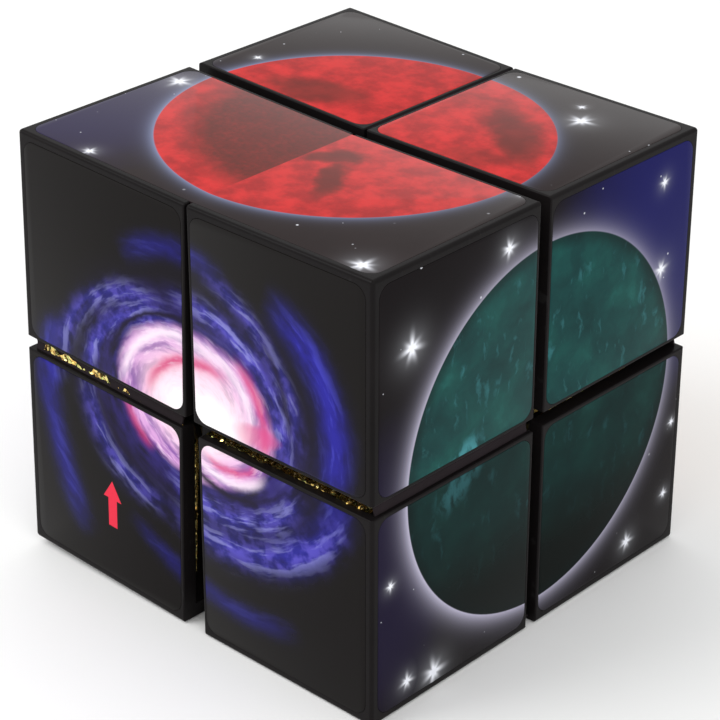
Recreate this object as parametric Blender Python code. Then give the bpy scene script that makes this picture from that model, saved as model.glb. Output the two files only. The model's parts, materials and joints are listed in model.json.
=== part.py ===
"""Folding star cube: a hollow cube of eight corner units, joined in a ring by eight hinges.

Each unit is a three-walled outer shell with a printed label on each wall, and an inner shell of six
facets lined with foil. Closed, the facets line a star-shaped hollow. The units fold about the hinges,
and turn inside out into a star. Seven hinges are strips of film in the seams. The eighth is the crease
of the print that runs across the two upper front units.

At rest the left half stands a little open about the line of the two hinges on the top.

Axes: +X is the right face, -Y the front face and +Z the top. The origin is the middle of the base.
Each unit is modelled at its closed place, about its own cell's centre, and hangs from an empty that
lies on its hinge axis.
"""

import math

import bmesh
import bpy
from mathutils import Matrix, Vector

# Driving dimensions, in metres.
EDGE = 0.060  # closed cube, from label face to label face
SEAM = 0.0018  # gap between the side walls of neighbouring units
CLOSE_SEAM = 0.0004  # the same gap under the two hinges on the top
CLEARANCE = 0.0003  # gap between pieces that lie on each other
LABEL_THICKNESS = 0.0003
LABEL_INSET = 0.0005  # from the edge of a unit's wall to the edge of its label
LABEL_CORNER_RADIUS = 0.0018
OUTER_WALL = 0.0015
INNER_WALL = 0.0012
EDGE_RADIUS = 0.0004
EDGE_SEGMENTS = 2
CORNER_SEGMENTS = 4
FOIL_THICKNESS = 0.0003
FOIL_MARGIN = 0.0010  # how far the foil stops short of the inner shell's rim
FILM_THICKNESS = 0.0003
FILM_WIDTH = SEAM - 2 * CLEARANCE
FILM_DEPTH = 0.0009  # from the hinge axis down to the middle of the film
TOP_FILM_WIDTH = 0.0008  # the film behind the crease lies between its labels, over the close seam
TOP_FILM_DEPTH = 0.0003
REST_OPENING = math.radians(1.9)  # how far the left half stands open about the top line at rest
REST_SHIFT = 0.00097  # puts the origin under the middle of the whole, with the left half open

# Places that follow from them.
HALF = EDGE / 2
HINGE_HEIGHT = HALF + CLEARANCE / 2  # so that folded labels keep their clearance
CELL_OUTSIDE = HALF - LABEL_THICKNESS - CLEARANCE
CELL_INSIDE = SEAM / 2
CELL_HALF = (CELL_OUTSIDE - CELL_INSIDE) / 2
CELL_CENTRE = (CELL_OUTSIDE + CELL_INSIDE) / 2
CUBE_CENTRE = Vector((REST_SHIFT, 0, HALF))
CUT_OVERSHOOT = 0.002
SQRT_2 = math.sqrt(2)

# Each unit's side of the cube along X, Y and Z.
UNITS = {
    "upper_front_left": (-1, -1, 1),
    "upper_front_right": (1, -1, 1),
    "upper_rear_right": (1, 1, 1),
    "upper_rear_left": (-1, 1, 1),
    "lower_front_left": (-1, -1, -1),
    "lower_front_right": (1, -1, -1),
    "lower_rear_right": (1, 1, -1),
    "lower_rear_left": (-1, 1, -1),
}
FACES = {
    (0, -1): "left",
    (0, 1): "right",
    (1, -1): "front",
    (1, 1): "rear",
    (2, -1): "bottom",
    (2, 1): "top",
}
# Each hinge: the unit that its film stays with, the unit that folds, and the axis of the face it is in.
HINGES = {
    "hinge_rear_right": ("lower_rear_right", "upper_rear_right", 1),
    "hinge_top_rear": ("upper_rear_right", "upper_rear_left", 2),
    "hinge_left_rear": ("upper_rear_left", "lower_rear_left", 0),
    "hinge_bottom_right": ("lower_rear_right", "lower_front_right", 2),
    "hinge_right_front": ("lower_front_right", "upper_front_right", 0),
    "hinge_top_crease": ("upper_front_right", "upper_front_left", 2),
    "hinge_front_left": ("upper_front_left", "lower_front_left", 1),
    "hinge_bottom_left": ("lower_rear_left", "lower_front_left", 2),
}
ROOT = "lower_rear_right"
RING_OPENING = "hinge_bottom_left"  # the hinge that closes the ring carries no unit
TOP_LINE = ("hinge_top_crease", "hinge_top_rear")  # the two hinges that lie on one line
CREASE = "hinge_top_crease"  # one print runs across this hinge, and there is no film in its seam

COLOURS = {
    "black_plastic": (0.012, 0.012, 0.013),
    "hinge_film": (0.010, 0.010, 0.010),
    "gold_foil": (0.45, 0.27, 0.09),
    "label_top": (0.45, 0.10, 0.09),
    "label_front": (0.06, 0.03, 0.08),
    "label_right": (0.02, 0.12, 0.10),
    "label_left": (0.05, 0.04, 0.10),
    "label_rear": (0.10, 0.06, 0.03),
    "label_bottom": (0.03, 0.05, 0.12),
}
ROUGHNESS = {"black_plastic": 0.22, "hinge_film": 0.40, "gold_foil": 0.35}
LABEL_ROUGHNESS = 0.18
FOIL_METALLIC = 0.9


def clear_scene():
    for thing in list(bpy.data.objects):
        bpy.data.objects.remove(thing, do_unlink=True)


def material(name):
    """The named Principled material, made the first time it is asked for."""
    made = bpy.data.materials.get(name)
    if made:
        return made
    made = bpy.data.materials.new(name)
    made.use_nodes = True
    shader = made.node_tree.nodes["Principled BSDF"]
    shader.inputs["Base Color"].default_value = (*COLOURS[name], 1)
    shader.inputs["Roughness"].default_value = ROUGHNESS.get(name, LABEL_ROUGHNESS)
    shader.inputs["Metallic"].default_value = FOIL_METALLIC if name == "gold_foil" else 0
    return made


def add_object(name, mesh, parent, material_name):
    thing = bpy.data.objects.new(name, mesh)
    bpy.context.collection.objects.link(thing)
    thing.parent = parent
    if not mesh.materials:
        mesh.materials.append(material(material_name))
    return thing


def box_mesh(name, low, high):
    """A box between two opposite corners."""
    size = [abs(b - a) for a, b in zip(low, high)]
    middle = (Vector(low) + Vector(high)) / 2
    shape = Matrix.Translation(middle) @ Matrix.Diagonal((*size, 1))
    solid = bmesh.new()
    bmesh.ops.create_cube(solid, size=1, matrix=shape)
    return finished(solid, name)


def finished(solid, name):
    """Turn a closed bmesh into a mesh with its faces pointing out."""
    bmesh.ops.recalc_face_normals(solid, faces=solid.faces)
    mesh = bpy.data.meshes.new(name)
    solid.to_mesh(mesh)
    solid.free()
    return mesh


def inner_edge(unit, axis):
    """How far a unit's side wall stands from the middle of the seam that crosses an axis."""
    is_close = UNITS[unit][2] > 0 and axis == hinge_line(CREASE)[1]
    return (CLOSE_SEAM if is_close else SEAM) / 2


def outer_shell_mesh(unit):
    """A unit's moulded shell: three walls that meet at the outer corner, about the cell's centre."""
    side = UNITS[unit]
    edges = [inner_edge(unit, axis) - CELL_CENTRE for axis in range(3)]
    corner = [s * CELL_HALF for s in side]
    wall_corner = [s * (CELL_HALF - OUTER_WALL) for s in side]
    near = [s * edge for s, edge in zip(side, edges)]
    past_near = [s * (edge - CUT_OVERSHOOT) for s, edge in zip(side, edges)]
    block = bpy.data.objects.new("block", box_mesh("block", near, corner))
    hollow = bpy.data.objects.new("hollow", box_mesh("hollow", past_near, wall_corner))
    hollow.hide_render = True
    hollow.display_type = "WIRE"
    for thing in (block, hollow):
        bpy.context.collection.objects.link(thing)
    cut = block.modifiers.new("hollow", "BOOLEAN")
    cut.operation = "DIFFERENCE"
    cut.solver = "EXACT"
    cut.object = hollow
    seen = block.evaluated_get(bpy.context.evaluated_depsgraph_get())
    solid = bmesh.new()
    solid.from_mesh(seen.to_mesh())
    seen.to_mesh_clear()
    for thing in (block, hollow):
        bpy.data.objects.remove(thing, do_unlink=True)
    sharp = [edge for edge in solid.edges if edge.calc_face_angle_signed() > 1]
    bmesh.ops.bevel(
        solid, geom=sharp, offset=EDGE_RADIUS, segments=EDGE_SEGMENTS, profile=0.5, affect="EDGES"
    )
    return finished(solid, "outer_shell")


def star_ring(level, reach):
    """The rim of the facets at one level, in order around the unit's diagonal.

    A facet is where the largest and the smallest of a point's three coordinates add up to the level.
    """
    far = level - reach
    return [
        (reach, reach, far),
        (reach, far, far),
        (reach, far, reach),
        (far, far, reach),
        (far, reach, reach),
        (far, reach, far),
    ]


def star_sheet_mesh(name, level, thickness, reach):
    """Six facets that rise from a rim to a point, as one sheet thickened towards the outer corner."""
    solid = bmesh.new()
    layers = []
    for height in (level, level + SQRT_2 * thickness):
        rim = [solid.verts.new(point) for point in star_ring(height, reach)]
        tip = solid.verts.new([height / 2] * 3)
        layers.append((rim, tip))
    corners = len(layers[0][0])
    for rim, tip in layers:
        for i in range(corners):
            solid.faces.new((tip, rim[i], rim[(i + 1) % corners]))
    (lower, _), (upper, _) = layers
    for i in range(corners):
        j = (i + 1) % corners
        solid.faces.new((lower[i], lower[j], upper[j], upper[i]))
    return finished(solid, name)


def label_mesh(name, low, high, radii):
    """A flat label in its own plane, with its underside at zero height and a radius at each corner."""
    corners = [(high[0], high[1]), (low[0], high[1]), (low[0], low[1]), (high[0], low[1])]
    inward = [(-1, -1), (1, -1), (1, 1), (-1, 1)]
    solid = bmesh.new()
    outline = []
    for i, (corner, side, radius) in enumerate(zip(corners, inward, radii)):
        if not radius:
            outline.append(solid.verts.new((*corner, 0)))
            continue
        centre = [corner[k] + side[k] * radius for k in range(2)]
        for step in range(CORNER_SEGMENTS + 1):
            angle = math.pi / 2 * (i + step / CORNER_SEGMENTS)
            x = centre[0] + radius * math.cos(angle)
            y = centre[1] + radius * math.sin(angle)
            outline.append(solid.verts.new((x, y, 0)))
    underside = solid.faces.new(outline)
    raised = bmesh.ops.extrude_face_region(solid, geom=[underside])["geom"]
    tops = [v for v in raised if isinstance(v, bmesh.types.BMVert)]
    bmesh.ops.translate(solid, verts=tops, vec=(0, 0, LABEL_THICKNESS))
    return finished(solid, name)


def hinge_line(hinge):
    """A hinge's face axis, seam axis and run axis, and the signs of its units' shared sides."""
    staying, folding, face = HINGES[hinge]
    a, b = UNITS[staying], UNITS[folding]
    seam = next(axis for axis in range(3) if a[axis] != b[axis])
    run = 3 - face - seam
    return face, seam, run, a


def hinge_point(hinge):
    """The middle of a hinge, in the world."""
    face, _, run, side = hinge_line(hinge)
    point = Vector((0, 0, 0))
    point[face] = side[face] * HINGE_HEIGHT
    point[run] = side[run] * CELL_CENTRE
    return point + CUBE_CENTRE


def unit_turn(side):
    """The rotation that takes a unit from the +X +Y +Z corner to its own corner."""
    quarter = {(1, 1): 0, (-1, 1): 1, (-1, -1): 2, (1, -1): 3}[side[:2]]
    if side[2] > 0:
        return Matrix.Rotation(quarter * math.pi / 2, 3, "Z")
    over = Matrix.Rotation(math.pi, 3, (1, 1, 0))
    return Matrix.Rotation(quarter * math.pi / 2, 3, "Z") @ over


def add_pivots():
    """One empty for each unit, on the axis of the hinge that carries it, under its neighbour's."""
    carrying = {HINGES[h][1]: h for h in HINGES if h != RING_OPENING}
    places = {unit: hinge_point(hinge) for unit, hinge in carrying.items()}
    places[ROOT] = Vector((0, 0, 0))
    pivots = {}
    for unit in UNITS:
        pivots[unit] = bpy.data.objects.new("pivot_" + unit, None)
        bpy.context.collection.objects.link(pivots[unit])
        pivots[unit].location = places[unit]
    for unit, hinge in carrying.items():
        carrier = HINGES[hinge][0]
        pivots[unit].parent = pivots[carrier]
        pivots[unit].location = places[unit] - places[carrier]
    return pivots, places


def label_span(unit, face, axis):
    """Where a label starts and ends along one axis of its face, and if it starts at the crease."""
    creased = unit in HINGES[CREASE][:2] and hinge_line(CREASE)[:2] == (face, axis)
    start = CLEARANCE / 2 if creased else inner_edge(unit, axis) + LABEL_INSET
    return start, CELL_OUTSIDE - LABEL_INSET, creased


def add_label(unit, face, pivot, origin):
    """The label on one wall of a unit. Its local X and Y run outwards, and Z is the wall's normal."""
    side = UNITS[unit]
    across, along = [axis for axis in range(3) if axis != face]
    spans = [label_span(unit, face, axis) for axis in (across, along)]
    low = [span[0] - CELL_CENTRE for span in spans]
    high = [span[1] - CELL_CENTRE for span in spans]
    round_corner = LABEL_CORNER_RADIUS
    radii = [round_corner] * 4
    if spans[0][2]:
        radii[1] = radii[2] = 0
    if spans[1][2]:
        radii[2] = radii[3] = 0
    name = f"{unit}_label_{FACES[face, side[face]]}"
    mesh = label_mesh(name, low, high, radii)
    frame = Matrix.Identity(4)
    for column, axis in enumerate((across, along, face)):
        frame.col[column] = (0, 0, 0, 0)
        frame.col[column][axis] = side[axis]
    mesh.transform(frame)
    if frame.determinant() < 0:
        mesh.flip_normals()
    label = add_object(name, mesh, pivot, "label_" + FACES[face, side[face]])
    place = Vector([side[axis] * CELL_CENTRE for axis in range(3)])
    place[face] = side[face] * (HALF - LABEL_THICKNESS)
    label.location = place + CUBE_CENTRE - origin


def add_units(pivots, places):
    """The shells, the foil and the labels of all eight units."""
    inner_reach = CELL_HALF - OUTER_WALL - CLEARANCE
    inner_level = -OUTER_WALL
    inner = star_sheet_mesh("inner_shell", inner_level, INNER_WALL, inner_reach)
    foil_level = inner_level - SQRT_2 * (CLEARANCE + FOIL_THICKNESS)
    foil_reach = inner_reach - FOIL_MARGIN
    foil = star_sheet_mesh("foil", foil_level, FOIL_THICKNESS, foil_reach)
    for unit, side in UNITS.items():
        centre = Vector([s * CELL_CENTRE for s in side]) + CUBE_CENTRE - places[unit]
        turn = unit_turn(side).to_euler()
        upright = Matrix.Identity(3).to_euler()
        for piece, mesh, look, turned in (
            ("outer_shell", outer_shell_mesh(unit), "black_plastic", upright),
            ("inner_shell", inner, "black_plastic", turn),
            ("foil", foil, "gold_foil", turn),
        ):
            thing = add_object(f"{unit}_{piece}", mesh, pivots[unit], look)
            thing.location = centre
            thing.rotation_euler = turned
        for face in range(3):
            add_label(unit, face, pivots[unit], places[unit])


def add_film(hinge, pivots, places):
    """A hinge's film: a strip in the seam, centred under the hinge axis."""
    face, seam, run, side = hinge_line(hinge)
    on_top = hinge in TOP_LINE
    length = 2 * (CELL_HALF - EDGE_RADIUS)
    size = Vector((0, 0, 0))
    size[seam] = TOP_FILM_WIDTH if on_top else FILM_WIDTH
    size[run] = length
    size[face] = FILM_THICKNESS
    centre = Vector((0, 0, 0))
    centre[face] = -side[face] * (TOP_FILM_DEPTH if on_top else FILM_DEPTH)
    unit = HINGES[hinge][0]
    mesh = box_mesh(hinge, centre - size / 2, centre + size / 2)
    film = add_object(hinge, mesh, pivots[unit], "hinge_film")
    film.location = hinge_point(hinge) - places[unit]


def main():
    clear_scene()
    pivots, places = add_pivots()
    add_units(pivots, places)
    for hinge in HINGES:
        if hinge != CREASE:
            add_film(hinge, pivots, places)
    for hinge in TOP_LINE:
        pivots[HINGES[hinge][1]].rotation_euler = (0, REST_OPENING, 0)
    bpy.context.view_layer.update()


main()
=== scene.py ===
import json
import math

import bmesh
import bpy
from mathutils import Matrix, Vector, noise


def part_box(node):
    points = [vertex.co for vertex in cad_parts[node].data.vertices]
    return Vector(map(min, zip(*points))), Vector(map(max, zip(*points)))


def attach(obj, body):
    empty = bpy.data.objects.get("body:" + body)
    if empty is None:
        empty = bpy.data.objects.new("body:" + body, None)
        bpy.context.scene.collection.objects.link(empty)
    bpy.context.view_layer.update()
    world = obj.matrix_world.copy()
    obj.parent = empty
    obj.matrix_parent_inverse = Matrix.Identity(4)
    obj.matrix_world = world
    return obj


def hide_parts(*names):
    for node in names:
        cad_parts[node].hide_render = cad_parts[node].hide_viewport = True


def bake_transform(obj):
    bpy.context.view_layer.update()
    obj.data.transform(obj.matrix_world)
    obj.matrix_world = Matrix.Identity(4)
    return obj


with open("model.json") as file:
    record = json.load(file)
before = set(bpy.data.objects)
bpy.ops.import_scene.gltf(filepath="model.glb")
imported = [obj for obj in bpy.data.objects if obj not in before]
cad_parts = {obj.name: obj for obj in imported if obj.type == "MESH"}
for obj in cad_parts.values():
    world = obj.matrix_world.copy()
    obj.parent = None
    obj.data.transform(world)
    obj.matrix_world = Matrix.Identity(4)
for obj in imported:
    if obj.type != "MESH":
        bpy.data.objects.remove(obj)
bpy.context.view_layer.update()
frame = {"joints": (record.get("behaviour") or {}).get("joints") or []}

# The cube's own sizes, read from the frame. Lengths are in metres unless a name says otherwise.
# MIDDLE_X and CENTRE place the closed cube in the frame. The others are distances from its middle.
MM = 0.001
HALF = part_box("lower_rear_right_label_rear")[1][1]
MIDDLE_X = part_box("lower_rear_right_label_right")[1][0] - HALF
CENTRE = Vector((MIDDLE_X, 0, HALF))
WALL_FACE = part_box("lower_rear_right_outer_shell")[1][1]
SEAM_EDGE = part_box("lower_rear_right_outer_shell")[0][1]
CREASE_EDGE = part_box("upper_front_right_outer_shell")[0][0] - MIDDLE_X
LABEL_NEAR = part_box("lower_rear_right_label_right")[0][1]
LABEL_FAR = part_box("lower_rear_right_label_right")[1][1]
CREASED_LABEL_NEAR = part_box("upper_front_right_label_front")[0][0] - MIDDLE_X
HINGE_HEIGHT = next(row for row in frame["joints"] if row["name"] == "rear_right_fold")["pos_m"][1]
REST_OPENING = math.radians(1.9)  # the left half's rest angle about the line of the two top hinges

# Finer sizes of the moulded and printed pieces.
RIM_FACE = HALF - 0.04 * MM  # the shell's rim stands beside the label, just below its face
OUTER_RADIUS = 0.5 * MM
SEAM_RADIUS = 0.22 * MM
WALL = 1.5 * MM
RECESS_MARGIN = 0.04 * MM
RECESS_FLOOR = HALF - 0.38 * MM
LABEL_TOP = HALF - 0.02 * MM
LABEL_UNDER = HALF - 0.33 * MM
LABEL_RADIUS = 1.8 * MM
LABEL_EDGE = 0.05 * MM
FACET_RIM = 1.5 * MM
FACET_WALL = 1.2 * MM
FACET_GAP = 0.05 * MM
FOLD_RADIUS = 0.15 * MM
FOIL_INSET = 1.6 * MM
FOIL_CORNER_RADIUS = 0.5 * MM
FOIL_LIFT = 0.04 * MM
FOIL_THICKNESS = 0.10 * MM
FILM_THICKNESS = 0.25 * MM
FILM_SINK = 0.18 * MM
SHARP_ANGLE = math.radians(30)

UNITS = {
    "upper_front_left": (-1, -1, 1),
    "upper_front_right": (1, -1, 1),
    "upper_rear_right": (1, 1, 1),
    "upper_rear_left": (-1, 1, 1),
    "lower_front_left": (-1, -1, -1),
    "lower_front_right": (1, -1, -1),
    "lower_rear_right": (1, 1, -1),
    "lower_rear_left": (-1, 1, -1),
}
FACES = {
    (0, -1): "left",
    (0, 1): "right",
    (1, -1): "front",
    (1, 1): "rear",
    (2, -1): "bottom",
    (2, 1): "top",
}
# Which way a viewer's right and up point on each face, so that a print reads the right way round.
PRINT_AXES = {
    "front": ((1, 0, 0), (0, 0, 1)),
    "right": ((0, 1, 0), (0, 0, 1)),
    "rear": ((-1, 0, 0), (0, 0, 1)),
    "left": ((0, -1, 0), (0, 0, 1)),
    "top": ((1, 0, 0), (0, 1, 0)),
    "bottom": ((1, 0, 0), (0, -1, 0)),
}
CREASED = ("upper_front_left", "upper_front_right")
LEANING = tuple(unit for unit, side in UNITS.items() if side[0] < 0)


# ---------------------------------------------------------------- node trees

def from_screen(red, green, blue):
    """A linear colour from screen values of 0 to 255."""
    def linear(value):
        value /= 255
        return value / 12.92 if value <= 0.04045 else ((value + 0.055) / 1.055) ** 2.4
    return (linear(red), linear(green), linear(blue), 1)


class Tree:
    """A short way to write a node tree: each call adds a node and gives its output socket."""

    def __init__(self, name):
        self.material = bpy.data.materials.new(name)
        self.material.use_nodes = True
        self.nodes = self.material.node_tree.nodes
        self.links = self.material.node_tree.links
        self.shader = self.nodes["Principled BSDF"]

    def put(self, value, socket):
        if isinstance(value, bpy.types.NodeSocket):
            self.links.new(value, socket)
        else:
            socket.default_value = value

    def add(self, kind, inputs=None, output=0, **settings):
        node = self.nodes.new("ShaderNode" + kind)
        for key, value in settings.items():
            setattr(node, key, value)
        for key, value in (inputs or {}).items():
            self.put(value, node.inputs[key])
        return node.outputs[output]

    def math(self, operation, *values):
        return self.add("Math", dict(enumerate(values)), operation=operation)

    def plus(self, a, b):
        return self.math("ADD", a, b)

    def minus(self, a, b):
        return self.math("SUBTRACT", a, b)

    def times(self, a, b):
        return self.math("MULTIPLY", a, b)

    def ramp_between(self, value, low, high):
        """0 below low, 1 above high, smooth between; low may be the larger of the two."""
        return self.add(
            "MapRange", {"Value": value, "From Min": low, "From Max": high}, interpolation_type="SMOOTHSTEP"
        )

    def vector(self, x, y, z=0.0):
        return self.add("CombineXYZ", {"X": x, "Y": y, "Z": z})

    def split(self, vector):
        node = self.nodes.new("ShaderNodeSeparateXYZ")
        self.put(vector, node.inputs[0])
        return node.outputs["X"], node.outputs["Y"]

    def shift(self, vector, offset):
        return self.add("VectorMath", {0: vector, 1: offset}, operation="ADD")

    def noise(self, vector, scale, detail=3.0, roughness=0.5, distortion=0.0, output="Fac"):
        inputs = {
            "Vector": vector,
            "Scale": scale,
            "Detail": detail,
            "Roughness": roughness,
            "Distortion": distortion,
        }
        return self.add("TexNoise", inputs, output)

    def mix(self, factor, a, b, blend="MIX"):
        node = self.nodes.new("ShaderNodeMix")
        node.data_type = "RGBA"
        node.blend_type = blend
        node.clamp_factor = True
        for value, index in ((factor, 0), (a, 6), (b, 7)):
            self.put(value, node.inputs[index])
        return node.outputs[2]

    def colour_ramp(self, factor, stops):
        node = self.nodes.new("ShaderNodeValToRGB")
        self.put(factor, node.inputs[0])
        elements = node.color_ramp.elements
        while len(elements) < len(stops):
            elements.new(0.5)
        for element, (place, colour) in zip(elements, stops):
            element.position = place
            element.color = colour
        return node.outputs[0]

    def bump(self, height, distance, strength=1.0):
        return self.add("Bump", {"Height": height, "Distance": distance, "Strength": strength})

    def finish(self, colour, roughness, normal=None, metallic=0.0):
        """Put the last sockets or values on the shader, and give the material."""
        self.put(colour, self.shader.inputs["Base Color"])
        self.put(roughness, self.shader.inputs["Roughness"])
        self.put(metallic, self.shader.inputs["Metallic"])
        if normal is not None:
            self.put(normal, self.shader.inputs["Normal"])
        return self.material


# ---------------------------------------------------------------- plastics, foil and film

def plastic_material():
    """Glossy black moulded plastic with a faint orange-peel, hairline scratches and dust."""
    t = Tree("black_plastic")
    place = t.add("TexCoord", output="Object")
    cloud = t.noise(place, 90, 4)
    peel = t.noise(place, 900, 2)
    stretched = t.add("Mapping", {"Vector": place, "Rotation": (0.4, 0.5, 0.7), "Scale": (1, 14, 1)})
    scratch = t.ramp_between(t.noise(stretched, 420, 2, 0.6), 0.66, 0.74)
    colour = t.mix(cloud, (0.0045, 0.0040, 0.0040, 1), (0.011, 0.009, 0.0095, 1))
    colour = t.mix(t.times(scratch, 0.2), colour, (0.04, 0.04, 0.04, 1))
    roughness = t.plus(t.plus(0.24, t.times(cloud, 0.14)), t.times(scratch, 0.15))
    normal = t.bump(t.plus(peel, t.times(scratch, -0.6)), 0.012 * MM, 0.6)
    t.shader.inputs["Specular IOR Level"].default_value = 0.06
    return t.finish(colour, roughness, normal)


def film_material():
    """Matt brown-black hinge film with a very fine grain, creased by use."""
    t = Tree("hinge_film")
    place = t.add("TexCoord", output="Object")
    cloud = t.noise(place, 260, 4)
    grain = t.noise(place, 2400, 2)
    colour = t.mix(cloud, (0.010, 0.007, 0.008, 1), (0.022, 0.016, 0.019, 1))
    roughness = t.plus(0.58, t.times(cloud, 0.18))
    t.shader.inputs["Specular IOR Level"].default_value = 0.08
    return t.finish(colour, roughness, t.bump(t.plus(grain, cloud), 0.02 * MM, 0.7))


def foil_material():
    """Gold glitter foil: small flakes that each lean their own way, over crinkled gold."""
    t = Tree("gold_foil")
    place = t.add("TexCoord", output="Object")
    flake = t.nodes.new("ShaderNodeTexVoronoi")
    t.put(place, flake.inputs["Vector"])
    flake.inputs["Scale"].default_value = 2600
    tint = t.colour_ramp(
        t.split(flake.outputs["Color"])[0],
        [
            (0.00, (0.42, 0.22, 0.05, 1)),
            (0.40, (0.80, 0.52, 0.14, 1)),
            (0.72, (0.95, 0.78, 0.30, 1)),
            (1.00, (0.60, 0.66, 0.22, 1)),
        ],
    )
    crinkle = t.bump(t.noise(place, 260, 3), 0.15 * MM, 0.5)
    tilt = t.shift(flake.outputs["Color"], (-0.5, -0.5, -0.5))
    tilt = t.add("VectorMath", {0: tilt, "Scale": 1.1}, operation="SCALE")
    normal = t.add("VectorMath", {0: t.shift(crinkle, tilt)}, operation="NORMALIZE")
    return t.finish(tint, 0.24, normal, metallic=1.0)


# ---------------------------------------------------------------- printed faces

STAR_WHITE = from_screen(238, 240, 248)


def print_place(t):
    """The place on the face in millimetres from its middle, right and up, which the print's UVs hold."""
    return t.add("UVMap", uv_map="print")


def star_dots(t, place, density, size, share, seed):
    """Round printed stars: one in each cell of a grid that is kept, at a random place in the cell."""
    voronoi = t.nodes.new("ShaderNodeTexVoronoi")
    t.put(t.shift(place, (seed, seed * 1.7, 0)), voronoi.inputs["Vector"])
    voronoi.inputs["Scale"].default_value = density
    kept = t.math("GREATER_THAN", t.split(voronoi.outputs["Color"])[0], 1 - share)
    grown = t.plus(0.4, t.split(voronoi.outputs["Color"])[1])
    reach = t.times(size * density, grown)
    dot = t.ramp_between(t.math("DIVIDE", voronoi.outputs["Distance"], reach), 1.0, 0.35)
    return t.times(dot, kept)


def bright_star(t, place, x, y, size):
    """A bright star: a soft round core with short uneven points."""
    radius, angle = polar(t, place, x, y)
    points = t.plus(t.math("COSINE", t.times(angle, 4.0)), t.math("COSINE", t.plus(t.times(angle, 7.0), x)))
    reach = t.math("DIVIDE", radius, t.times(t.plus(t.times(points, 0.16), 0.72), size))
    core = t.math("EXPONENT", t.times(t.times(reach, reach), -2.0))
    glow = t.math("EXPONENT", t.math("DIVIDE", t.times(radius, -1.5), size))
    return t.math("MINIMUM", t.plus(t.times(core, 1.1), t.times(glow, 0.35)), 1.0)


def add_stars(t, place, colour, big, seed):
    """Scatter small stars on a colour, with bigger ones where big says."""
    small = star_dots(t, place, 0.20, 0.34, 0.6, seed)
    tiny = star_dots(t, place, 0.42, 0.17, 0.45, seed + 3.3)
    light = t.math("MAXIMUM", t.times(small, 0.85), t.times(tiny, 0.55))
    for x, y, size in big:
        light = t.math("MAXIMUM", light, bright_star(t, place, x, y, size))
    return t.mix(light, colour, STAR_WHITE)


def laminate(t, colour, place, gloss=0.4):
    """A print under clear film: a smooth coat, a little paper tooth below it and a slight wave."""
    wave = t.noise(place, 0.10, 2)
    tooth = t.noise(place, 9.0, 3)
    roughness = t.plus(0.50, t.times(tooth, 0.14))
    shader = t.shader
    shader.inputs["Coat Weight"].default_value = gloss
    shader.inputs["Coat Roughness"].default_value = 0.10
    shader.inputs["Coat IOR"].default_value = 1.42
    shader.inputs["Specular IOR Level"].default_value = 0.0
    normal = t.bump(t.plus(t.times(wave, 6.0), t.times(tooth, 0.05)), 0.02 * MM, 0.5)
    return t.finish(colour, roughness, normal)


def polar(t, place, x, y):
    """Distance and direction from a point of the face."""
    dx, dy = t.split(t.shift(place, (-x, -y, 0)))
    radius = t.math("SQRT", t.plus(t.times(dx, dx), t.times(dy, dy)))
    return radius, t.math("ARCTAN2", dy, dx)


def patch(t, place, x, y, long, wide, turn):
    """A soft oval, 1 in the middle and 0 at its edge."""
    oval = t.add("Mapping", {"Vector": place, "Location": (-x, -y, 0)})
    oval = t.add("Mapping", {"Vector": oval, "Rotation": (0, 0, math.radians(-turn))})
    oval = t.add("Mapping", {"Vector": oval, "Scale": (1 / long, 1 / wide, 1)})
    dx, dy = t.split(oval)
    return t.ramp_between(t.plus(t.times(dx, dx), t.times(dy, dy)), 1.0, 0.1)


def wobble(t, place, scale, amount):
    """The place moved by noise, so that soft shapes drawn there get uneven edges."""
    stir = t.noise(place, scale, 4, 0.55, output="Color")
    stir = t.shift(stir, (-0.5, -0.5, -0.5))
    stir = t.add("VectorMath", {0: stir, "Scale": amount}, operation="SCALE")
    return t.shift(place, stir)


# Arcs of the galaxy: middle x and y, radius, direction of its middle and half its sweep in degrees,
# half its width, and how strong it is.
VIOLET_ARMS = (
    (-6.3, -2.1, 17.0, 130, 56, 1.3, 0.75),
    (-4.2, -1.1, 13.9, 130, 60, 1.2, 0.95),
    (0.1, 1.0, 16.0, 45, 62, 1.3, 0.95),
    (-2.4, 2.0, 20.6, 40, 42, 1.2, 0.70),
    (4.8, 9.3, 24.0, -70, 44, 1.9, 0.95),
    (4.8, 5.3, 15.6, -75, 52, 1.6, 0.90),
    (-5.2, -0.4, 13.1, -130, 55, 1.6, 0.70),
)
BLUE_ARMS = (
    (7.4, 6.0, 16.8, 20, 54, 2.0, 1.00),
    (6.5, 7.0, 20.5, -45, 30, 2.0, 0.60),
    (23.2, 2.5, 49.8, -163, 17, 1.8, 0.55),
    (-0.6, 6.1, 17.2, 98, 34, 1.3, 0.40),
    (8.4, 9.2, 32.6, -99, 28, 1.3, 0.35),
    (-20.4, 0.2, 5.2, 170, 70, 1.7, 0.60),
)
DARK_LANES = (
    (-0.9, 1.0, 13.3, 122, 50, 0.45, 0.95),
    (6.0, 4.4, 11.4, -92, 46, 0.55, 0.95),
    (-1.5, 4.5, 18.3, 22, 26, 0.60, 0.80),
    (-4.0, 2.0, 12.8, -142, 34, 0.60, 0.70),
)
ROSE_STROKES = (
    (2.9, -0.7, 10.2, 118, 56, 0.85, 0.90),
    (2.0, 3.0, 10.6, 20, 44, 0.90, 0.80),
    (5.8, 3.6, 7.2, -80, 46, 0.60, 0.80),
    (-1.0, 3.0, 10.4, -146, 30, 0.70, 0.60),
)
PALE_STROKES = (
    (0.3, 0.4, 11.8, 130, 50, 0.75, 0.80),
    (2.0, 3.0, 8.6, 60, 66, 0.90, 0.60),
    (5.4, 4.8, 9.9, -84, 44, 0.60, 0.70),
)


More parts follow.
